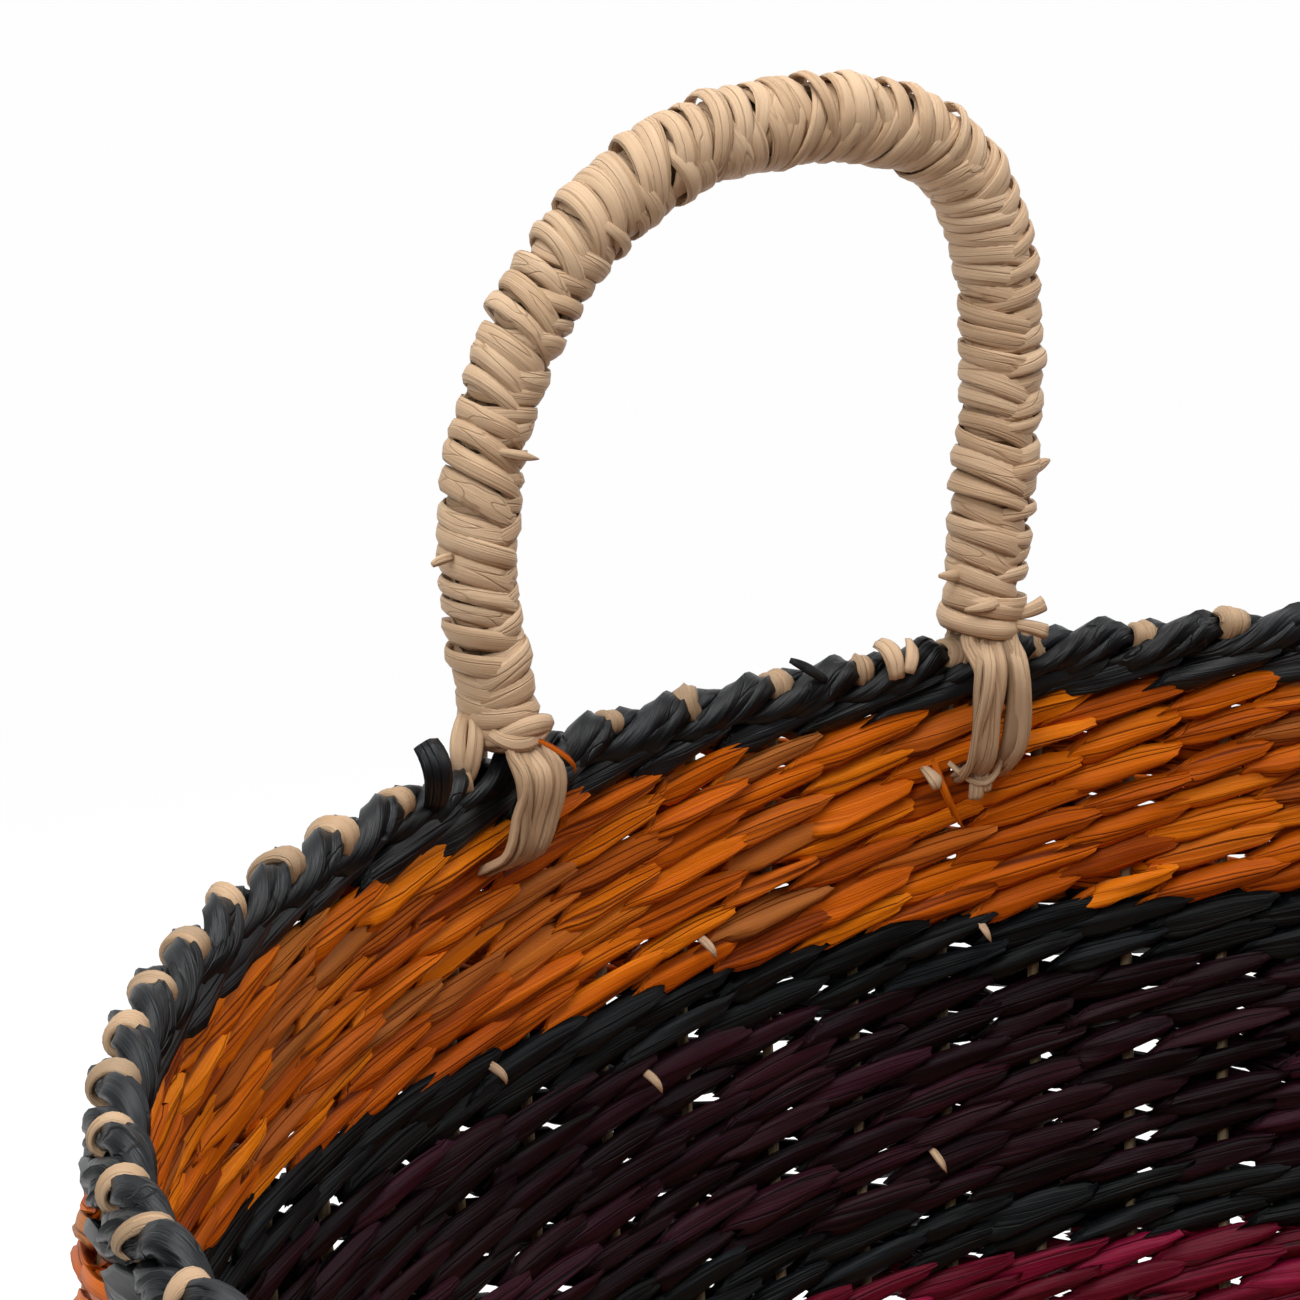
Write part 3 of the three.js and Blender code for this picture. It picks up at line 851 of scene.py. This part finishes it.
def ribbon(start, end, radius, pitch, phase, slant, over, stout, rng, turned):
    """A flat strip wound round the bow from one length to another, on a helix of the given pitch.

    It slants across the bow's faces with the cosine of its turn. over lifts it on the bow's outer
    side and sinks it on the inner side, or the other way when negative. stout is the share of a plain
    strip's thickness. At the feet it draws in.
    """
    turns = (end - start) / pitch
    count = int(turns * RIBBON_STEPS)
    knots = max(LEAST_KNOTS, int(turns * KNOTS_PER_TURN))

    def wandering(trait, knots):
        """A smooth random value along the strip, by the trait's spread."""
        return wander(rng, count, RIBBON_SPREADS[trait], knots)

    angle = np.linspace(0, 2 * np.pi * turns, count) + phase
    length = np.linspace(start, end, count) + wandering("along", knots)
    crossing = angle + wandering("crossing", knots)
    from_foot = np.minimum(length, BOW_LENGTH - length) - WRAP_FOOT
    foot_taper = np.clip(from_foot / FOOT_TAPER, 0, 1)
    length = length + slant * foot_taper * (1 + wandering("slant", knots)) * np.cos(crossing)
    place, ahead = bow_at(length)
    lift = over * np.cos(angle) + wandering("lift", knots)
    reach = (radius + lift) * (1 - FOOT_GRIP * (1 - foot_taper)) * slimmed(length)
    across = np.stack([-ahead[:, 1], ahead[:, 0]], -1)
    flat = place + across * (reach * np.cos(angle))[:, None]
    centre = handle_place(flat[:, 0], reach * np.sin(angle), flat[:, 1], turned)
    tip = np.stack(
        [across[:, 0] * np.cos(angle), np.sin(angle), across[:, 1] * np.cos(angle)], -1
    )
    lean = wandering("lean", knots)[:, None]
    tip = tip + lean * np.stack([ahead[:, 0], 0 * angle, ahead[:, 1]], -1)
    if turned:
        tip = tip * np.array([-1, -1, 1])
    width = RIBBON_HALF_WIDTH * (1 + wandering("width", knots * 2))
    ridge = wandering("ridge", knots)
    depth = np.full((1, count), RIBBON_HALF_DEPTH * stout)
    points = sweep(centre[None], tip[None], depth, width[None], ridge[None], RIBBON_PLEAT, False)
    traits = even_traits(points)
    traits[..., 0] = (EVEN + wandering("shade", knots))[None, :, None]
    return points, traits


def wrapping(name, start, end, rng, turned):
    """Two strips that cross on the faces of one half of the bow, and a tie at its foot, as one piece."""
    near_start = start < BOW_LENGTH / 4
    over = RIBBON_OVER if near_start else -RIBBON_OVER
    foot, inward = (start, 1) if near_start else (end, -1)
    tie_start, tie_end = sorted(foot + inward * reach for reach in FOOT_TIE_ENDS)
    layers = [
        dict(CROSSING, start=start, end=end, phase=phase, slant=way * RIBBON_SLANT, over=way * over)
        for phase, way in zip(RIBBON_PHASES, (1, -1))
    ]
    layers.append(dict(FOOT_TIE, start=tie_start, end=tie_end))
    made = []
    for i, layer in enumerate(layers):
        points, traits = ribbon(**layer, rng=rng, turned=turned)
        strip_length = points.shape[1] * RIBBON_STEP_LENGTH
        made.append(grid_object(f"{name}_{i}", points, False, strip_length, traits, NATURAL))
    with bpy.context.temp_override(active_object=made[0], selected_editable_objects=made):
        bpy.ops.object.join()
    whole = made[0]
    whole.name = name
    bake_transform(whole)
    return whole


# The core's dark brown is painted shade, seen in the gaps between the wrapping's strips.
SHADED_CORE = seagrass(
    "core_seagrass",
    roughness=0.7,
    specular=0.2,
    Dark=(0.07, 0.04, 0.02),
    Middle=(0.13, 0.08, 0.042),
    Light=(0.20, 0.13, 0.07),
    Dry=(0.10, 0.07, 0.04),
    Crease=(0.05, 0.03, 0.015),
)
BOW_HALVES = (
    ("left", WRAP_FOOT, BOW_LENGTH / 2),
    ("right", BOW_LENGTH / 2, BOW_LENGTH - WRAP_FOOT),
)
core_bow = bow[::CORE_SKIP]
core_half = CORE_RADIUS * slimmed(bow_length[::CORE_SKIP])[None]
for handle, turned in (("handle_a", False), ("handle_b", True)):
    core_line = handle_place(core_bow[:, 0], 0 * core_bow[:, 0], core_bow[:, 1], turned)[None]
    core_face = np.zeros_like(core_line)
    core_face[..., 1] = 1
    core_points = sweep(core_line, core_face, core_half, core_half, 0 * core_half, 0, False)
    core = grid_object(f"{handle}_cane", core_points, False, BOW_LENGTH, EVEN, SHADED_CORE)
    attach(core, handle)
    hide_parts(f"{handle}_core")
    for half, start, end in BOW_HALVES:
        wrap = wrapping(f"{handle}_winding_{half}", start, end, rng, turned)
        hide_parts(f"{handle}_wrap_{half}")

# Lashings: bundles of natural strips that hold each handle foot to the wall. They come from under
# the wrapping, go down both faces of the wall and pass through it below the top rows.
LASH_STEPS = 44
LASH_KNOTS = 8
LASH_LENGTH = 0.11
LASH_HALF_WIDTH = 0.0018
LASH_HALF_DEPTH = 0.0008
LASH_PLEAT = 0.25
LASH_TOP = 0.006
LASH_DEPTH = 0.036
LASH_LAYER = 0.0005
LASH_TWIST = 0.6
LASH_WIDTHS = 0.22
LASH_SPREADS = {"lift": 0.0010, "aside": 0.0012, "twist": 0.6, "width": 0.2, "ridge": 1.0}
# Tones of the lashing strips differ at random and lie lower than the wrapping's: painted shade over the
# lashings.
LASH_SHADED_TONES = (0.0, 0.7)
LASH_DRYNESS = (0.6, 0.95)
NECK_GATHER = 0.45
NECK_FROM = 0.001
NECK_RISE = 0.006
BACK_GATHER = 0.4
BACK_REACH = 0.008
TUCK_FROM = 0.0045
TUCK_RISE = 0.006
# Closed route of a lashing: outward from the border's middle line, and up from the border's top.
LASH_ROUTE = np.array(
    [
        (0.000, 0.0115),
        (-0.0046, 0.0070),
        (-0.0078, 0.0005),
        (-0.0102, -0.0060),
        (-0.0092, -0.0150),
        (-0.0064, -0.0260),
        (0.0050, -0.0318),
        (0.0135, -0.0265),
        (0.0120, -0.0150),
        (0.0092, -0.0030),
        (0.0052, 0.0070),
    ]
)
# Bundles at each foot: place along the border at the handle and at the way through the wall, half
# spread at both, bulge to the side half way down, and number of strips.
FOOT_BUNDLES = {
    "left": [
        (0.0050, 0.0096, 0.0007, 0.0008, -0.0016, 2),
        (0.0014, 0.0040, 0.0008, 0.0012, -0.0027, 2),
        (-0.0010, 0.0000, 0.0004, 0.0008, -0.0038, 2),
    ],
    "right": [
        (0.0068, 0.0080, 0.0028, 0.0020, 0.0, 5),
        (0.0004, 0.0004, 0.0016, 0.0012, -0.0012, 3),
    ],
}
FOOT_DROP = {"left": 0.80, "right": 1.0}


def smooth_loop(corners, count):
    """Closed smooth line through the corners: each stretch is a cubic set by its neighbours."""
    total = len(corners)
    at = np.linspace(0, total, count, endpoint=False)
    i = at.astype(int)
    t = (at - i)[:, None]
    p0, p1, p2, p3 = (corners[(i + k) % total] for k in (-1, 0, 1, 2))
    return 0.5 * (
        2 * p1
        + (p2 - p0) * t
        + (2 * p0 - 5 * p1 + 4 * p2 - p3) * t**2
        + (3 * p1 - p0 - 3 * p2 + p3) * t**3
    )


def lashing(name, angle, bundles, drop, rng):
    """Bundles of flat strips that follow one closed route round the wall, each a little aside.

    The strips run from their places at the handle to those at the way through the wall, gathered at
    the neck and behind, and lie over each other in layers that end where they are tucked in. drop is
    the share of the route's depth below the border that the lashing takes.
    """
    route = smooth_loop(LASH_ROUTE, LASH_STEPS)
    route = np.stack([route[:, 0], np.where(route[:, 1] < 0, drop, 1) * route[:, 1]], -1)
    middle = route.mean(0)
    down = np.clip((LASH_TOP - route[:, 1]) / LASH_DEPTH, 0, 1)
    neck = NECK_GATHER * eased((route[:, 1] - NECK_FROM) / NECK_RISE)
    gather = 1 - neck - BACK_GATHER * eased(route[:, 0] / BACK_REACH)
    asides = []
    layers = []
    for top, foot, top_spread, foot_spread, bulge, strips in bundles:
        share = np.linspace(-1, 1, strips)[:, None]
        swapped = rng.permutation(share)
        spread = top_spread * share * (1 - down) + foot_spread * swapped * down
        beside = top + (foot - top) * down + spread + bulge * np.sin(np.pi * down)
        asides.append(beside * gather)
        layers.append(rng.permutation(np.arange(strips))[:, None] * LASH_LAYER)
    aside = np.concatenate(asides)
    strips = len(aside)

    def wandering(trait):
        """A smooth random value along each strip, by the trait's spread."""
        spread = LASH_SPREADS[trait]
        return np.stack([wander(rng, LASH_STEPS, spread, LASH_KNOTS) for _ in range(strips)])

    tucked = eased((route[:, 1] + TUCK_FROM) / TUCK_RISE)
    lift = (1 - tucked) * (np.abs(wandering("lift")) + np.concatenate(layers))
    away = unit(route - middle)
    radial = route[:, 0] + away[:, 0] * lift
    height = BORDER_TOP + route[:, 1] + away[:, 1] * lift
    swing = angle + (aside + wandering("aside")) / RIM_RADIUS
    centre = around_point(RIM_RADIUS + radial, swing, height)
    twist = np.clip(wandering("twist"), -LASH_TWIST, LASH_TWIST)[..., None]
    face = around_point(away[:, 0] + 0 * swing, swing, away[:, 1] + 0 * swing)
    along_border = around_point(0 * swing + 1, swing + np.pi / 2, 0 * swing)
    widths = 1 + rng.normal(0, LASH_WIDTHS, (strips, 1)) + wandering("width")
    ridge = rng.uniform(0, PHASE_SPAN, (strips, 1)) + wandering("ridge")
    faced = np.cos(twist) * face + np.sin(twist) * along_border
    thick = np.full(swing.shape, LASH_HALF_DEPTH)
    points = sweep(centre, faced, thick, LASH_HALF_WIDTH * widths, ridge, LASH_PLEAT, True)
    traits = even_traits(points)
    # Random strip tones, kept low as painted shade.
    traits[..., 0] = rng.uniform(*LASH_SHADED_TONES, (strips, 1, 1))
    traits[..., 1] = rng.uniform(*LASH_DRYNESS, (strips, 1, 1))
    thing = grid_object(name, points, True, LASH_LENGTH, traits, NATURAL)
    return thing


for handle, half_turn in (("handle_a", 0.0), ("handle_b", math.pi)):
    for half, foot in (("left", FOOT_ANGLE), ("right", -FOOT_ANGLE)):
        lash_name = f"{handle}_lashing_{half}"
        lash = lashing(lash_name, half_turn + foot, FOOT_BUNDLES[half], FOOT_DROP[half], rng)
        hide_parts(f"{handle}_lash_{half}")
        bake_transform(lash)

# Loose ends: cut and stray ends of strip, natural or dyed. They stand out of the wrapping, the border
# and the wall, where a strip was cut off after it had been tucked in.
STRAY_STEPS = 9
STRAY_FLATNESS = 0.4
STRAY_LENGTH = 0.02
STRAY_PLEAT = 0.2
MILLIMETRE = 0.001


def loose_ends(name, ends, place, face, material):
    """Short flat strips, each on the parabola through three places, in millimetres.

    Every place is followed by the strip's half width there, so a strip can swell and end in a point.
    """
    t = np.linspace(0, 1, STRAY_STEPS)
    weights = np.stack([2 * (t - 0.5) * (t - 1), 4 * t * (1 - t), 2 * t * (t - 0.5)])
    lines = np.einsum("kt,nkc->ntc", weights, np.array(ends) * MILLIMETRE)
    x, y, z, broad = np.moveaxis(lines, -1, 0)
    centre = place(x, y, z)
    ridge = np.arange(len(ends))[:, None] + 0 * broad
    facing = np.broadcast_to(np.array(face), centre.shape)
    points = sweep(centre, facing, STRAY_FLATNESS * broad, broad, ridge, STRAY_PLEAT, False)
    thing = grid_object(name, points, False, STRAY_LENGTH, EVEN, material)
    return thing


def wall_place(aside, height, stand):
    """A place near the wall: along it from handle_a's middle, up from the border's top, and inward."""
    level = BORDER_TOP + height
    return around_point(wall_radius(level) - stand, aside / RIM_RADIUS, level)


STRAY_DYES = {"natural": NATURAL, "orange": DYES["orange"], "black": SHEEN_BLACK}
WALL_FACE = (-0.2, -0.9, 0.3)
# Three places of each end at the wall: along the wall, up, inward, and half width. The tips of
# spliced strips are alike, and start at their roots, given along the wall and up.
SPLICE_TIP = np.array([(0, 0, 3.6, 1.0), (-0.5, -1.8, 7.6, 0.9), (-1.9, -4.8, 7.4, 0.1)])
SPLICE_ROOTS = [(69.2, -70.3), (24.4, -86.3), (-48.8, -123.0), (-61.7, -68.8), (8.7, -58.6)]
WALL_ENDS = {
    "natural": [
        [(-46.9, -28.4, 4, 0.9), (-48.2, -30.5, 8, 1.7), (-49.1, -32.6, 8, 1.4)],
        [(-58.7, -29.0, 7, 1.2), (-58.4, -33.0, 9, 1.9), (-58.2, -36.6, 9, 1.8)],
        [(-60.5, -29.0, 7, 0.8), (-60.8, -32.5, 9, 1.2), (-61.3, -35.0, 9, 1.0)],
        [(-64.1, -24.8, 10, 0.7), (-60.0, -32.6, 10, 0.8), (-51.6, -27.0, 8, 0.6)],
        [(-37.3, 1.8, -1.3, 1.8), (-37.9, 0.4, 4.3, 2.4), (-38.4, -5.0, 6.3, 1.9)],
        [(-44.6, 1.2, 0, 1.6), (-42.5, -0.2, 5.4, 1.7), (-40.7, -3.8, 7.4, 1.3)],
        *(SPLICE_TIP + (*root, 0, 0) for root in SPLICE_ROOTS),
    ],
    "orange": [
        [(-49.6, -27.0, 4, 0.7), (-51.2, -35.2, 9, 1.0), (-56.1, -44.2, 8, 0.2)],
        [(-49.9, -28.0, 4, 0.5), (-50.6, -34.0, 10, 0.6), (-52.6, -40.0, 9, 0.2)],
        [(64.8, 3.6, 7.4, 0.4), (60.6, -0.9, 14.4, 0.6), (57.2, -5.5, 14, 0.1)],
    ],
    "black": [
        [(-20.9, -3.0, 5, 0.8), (-16.2, 0.6, 5, 1.2), (-12.3, 3.0, 3, 0.6)],
        [(93.5, 9.0, 2.6, 2.8), (94.4, 3.0, 7.0, 3.1), (91.8, -5.6, 4.5, 2.2)],
    ],
}
for dye, ends in WALL_ENDS.items():
    material = STRAY_DYES[dye]
    strays = loose_ends(f"wall_ends_{dye}", ends, wall_place, WALL_FACE, material)
    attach(strays, "basket")

HANDLE_FACE = (-0.1, -1, 0.2)
# Three places of each end on the handle: along the border, outward, up, and half width.
HANDLE_ENDS = [
    [(-66.0, -7.6, 64.6, 0.6), (-61.5, -8.9, 63.2, 1.0), (-56.8, -8.4, 61.6, 0.1)],
    [(66.0, -6.0, 36.6, 0.8), (72.0, -6.0, 38.4, 1.5), (76.0, -6.0, 39.4, 0.3)],
    [(-75.4, -3.4, 43.4, 0.8), (-78.8, -4.6, 43.6, 1.0), (-81.4, -5.4, 43.2, 0.6)],
    [(62.0, -6.0, 6.0, 0.9), (67.0, -7.6, 6.4, 1.5), (72.0, -8.0, 7.6, 1.9)],
    [(62.0, -6.0, 4.6, 0.9), (67.0, -8.0, 3.2, 1.5), (72.6, -8.0, 0.8, 1.8)],
    [(51.3, -6.3, 9.5, 0.4), (55.1, -8.1, 9.8, 1.2), (58.7, -8.5, 10.4, 1.4)],
    [(55.5, -0.8, 15.4, 0.9), (51.7, -2.0, 16.4, 1.4), (47.7, -1.8, 17.0, 0.4)],
    [(-69.8, -6.2, 4.3, 1.2), (-62.8, -9.0, 6.2, 2.3), (-55.6, -5.6, 4.7, 1.7)],
    [(-70.6, -6.2, 5.7, 1.2), (-65.2, -9.2, 3.3, 2.0), (-57.2, -6.2, 4.3, 1.5)],
    [(-73.4, -0.5, 8.5, 1.5), (-76.6, -3.2, 2.6, 2.0), (-75.4, -3.5, -3.4, 1.6)],
    [(-71.8, -2.6, 8.0, 1.5), (-73.6, -4.8, 2.2, 2.0), (-75.2, -3.5, -4.4, 1.6)],
]
handle_strays = loose_ends(
    "handle_a_ends", HANDLE_ENDS, handle_place, HANDLE_FACE, NATURAL
)
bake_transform(handle_strays)

# Stage: a pale floor that holds the shadow and fades out into a white room, three soft lamps, a glow
# from beyond the basket, and the camera where the photo was taken from.
FLOOR_HALF = 8
FLOOR_DROP = 0.0005
FLOOR_COLOUR = (0.93, 0.93, 0.93, 1)
FLOOR_ROUGHNESS = 0.9
FLOOR_FADE = {"From Min": 0.45, "From Max": 1.3}
FLOOR_WAYS = ((-1, -1), (1, -1), (1, 1), (-1, 1))
floor_corners = [(x * FLOOR_HALF, y * FLOOR_HALF, 0) for x, y in FLOOR_WAYS]
floor_mesh = bpy.data.meshes.new("floor")
floor_mesh.from_pydata(floor_corners, [], [(0, 1, 2, 3)])
floor = bpy.data.objects.new("floor", floor_mesh)
floor.location.z = -FLOOR_DROP
bpy.context.scene.collection.objects.link(floor)
floor_material = bpy.data.materials.new("pale_floor")
floor_material.use_nodes = True
floor_nodes, floor_links = floor_material.node_tree.nodes, floor_material.node_tree.links
floor_surface = floor_nodes["Principled BSDF"]
floor_surface.inputs["Base Color"].default_value = FLOOR_COLOUR
floor_surface.inputs["Roughness"].default_value = FLOOR_ROUGHNESS
floor_place = floor_nodes.new("ShaderNodeTexCoord")
floor_reach = floor_nodes.new("ShaderNodeVectorMath")
floor_reach.operation = "LENGTH"
floor_links.new(floor_place.outputs["Object"], floor_reach.inputs[0])
floor_fade = floor_nodes.new("ShaderNodeMapRange")
floor_fade.interpolation_type = "SMOOTHSTEP"
for end, reach in FLOOR_FADE.items():
    floor_fade.inputs[end].default_value = reach
floor_links.new(floor_reach.outputs["Value"], floor_fade.inputs["Value"])
floor_clear = floor_nodes.new("ShaderNodeBsdfTransparent")
floor_mix = floor_nodes.new("ShaderNodeMixShader")
floor_links.new(floor_fade.outputs["Result"], floor_mix.inputs["Fac"])
floor_links.new(floor_surface.outputs["BSDF"], floor_mix.inputs[1])
floor_links.new(floor_clear.outputs["BSDF"], floor_mix.inputs[2])
floor_links.new(floor_mix.outputs["Shader"], floor_nodes["Material Output"].inputs["Surface"])
floor_mesh.materials.append(floor_material)

ROOM_COLOUR = (1, 1, 1, 1)
ROOM_SEEN = 0.99
GLOW_TOWARD = (0.50, 0.80, 0.33)
GLOW_RANGE = {"From Min": 0.1, "From Max": 0.9, "To Min": 0.2, "To Max": 1.0}
world = bpy.data.worlds.new("studio")
bpy.context.scene.world = world
world.use_nodes = True
world_nodes, world_links = world.node_tree.nodes, world.node_tree.links
room = world_nodes["Background"]
room.inputs["Color"].default_value = ROOM_COLOUR
direction = world_nodes.new("ShaderNodeTexCoord")
toward = world_nodes.new("ShaderNodeVectorMath")
toward.operation = "DOT_PRODUCT"
toward.inputs[1].default_value = GLOW_TOWARD
world_links.new(direction.outputs["Generated"], toward.inputs[0])
glow = world_nodes.new("ShaderNodeMapRange")
glow.interpolation_type = "SMOOTHSTEP"
for end, value in GLOW_RANGE.items():
    glow.inputs[end].default_value = value
world_links.new(toward.outputs["Value"], glow.inputs["Value"])
ray = world_nodes.new("ShaderNodeLightPath")
level = world_nodes.new("ShaderNodeMapRange")
level.inputs["To Max"].default_value = ROOM_SEEN
world_links.new(glow.outputs["Result"], level.inputs["To Min"])
world_links.new(ray.outputs["Is Camera Ray"], level.inputs["Value"])
world_links.new(level.outputs["Result"], room.inputs["Strength"])


def softbox(name, place, target, size, power):
    """A square area lamp facing a point."""
    data = bpy.data.lights.new(name, "AREA")
    data.shape = "SQUARE"
    data.size = size
    data.energy = power
    lamp = bpy.data.objects.new(name, data)
    lamp.location = place
    lamp.rotation_euler = (Vector(target) - Vector(place)).to_track_quat("-Z", "Y").to_euler()
    bpy.context.scene.collection.objects.link(lamp)


softbox("top_light", place=(-0.1, -0.2, 2.2), target=(0, 0, 0.3), size=1.8, power=46)
softbox("key_light", place=(-1.6, -0.9, 1.5), target=(0, 0, 0.35), size=1.0, power=19)
softbox("fill_light", place=(1.6, -1.0, 1.4), target=(0, 0, 0.3), size=1.0, power=12)

CAMERA_YAW = math.radians(32.19)
CAMERA_PITCH = -0.27676
CAMERA_ROLL = -0.04426
CAMERA_PLACE = (-0.46652, -0.47162, 0.54725)
CAMERA_LENS = 112.32
CAMERA_SENSOR = 36
CAMERA_NEAR = 0.01
camera_data = bpy.data.cameras.new("camera")
camera_data.lens = CAMERA_LENS
camera_data.sensor_width = CAMERA_SENSOR
camera_data.clip_start = CAMERA_NEAR
camera = bpy.data.objects.new("camera", camera_data)
look = Vector(
    (
        math.sin(CAMERA_YAW) * math.cos(CAMERA_PITCH),
        math.cos(CAMERA_YAW) * math.cos(CAMERA_PITCH),
        math.sin(CAMERA_PITCH),
    )
)
level_right = look.cross(Vector((0, 0, 1))).normalized()
level_up = level_right.cross(look)
right = math.cos(CAMERA_ROLL) * level_right + math.sin(CAMERA_ROLL) * level_up
up = -math.sin(CAMERA_ROLL) * level_right + math.cos(CAMERA_ROLL) * level_up
facing = Matrix((right, up, -look)).transposed().to_4x4()
camera.matrix_world = Matrix.Translation(CAMERA_PLACE) @ facing
bpy.context.scene.collection.objects.link(camera)
bpy.context.scene.camera = camera
bpy.context.scene.view_settings.view_transform = "Standard"
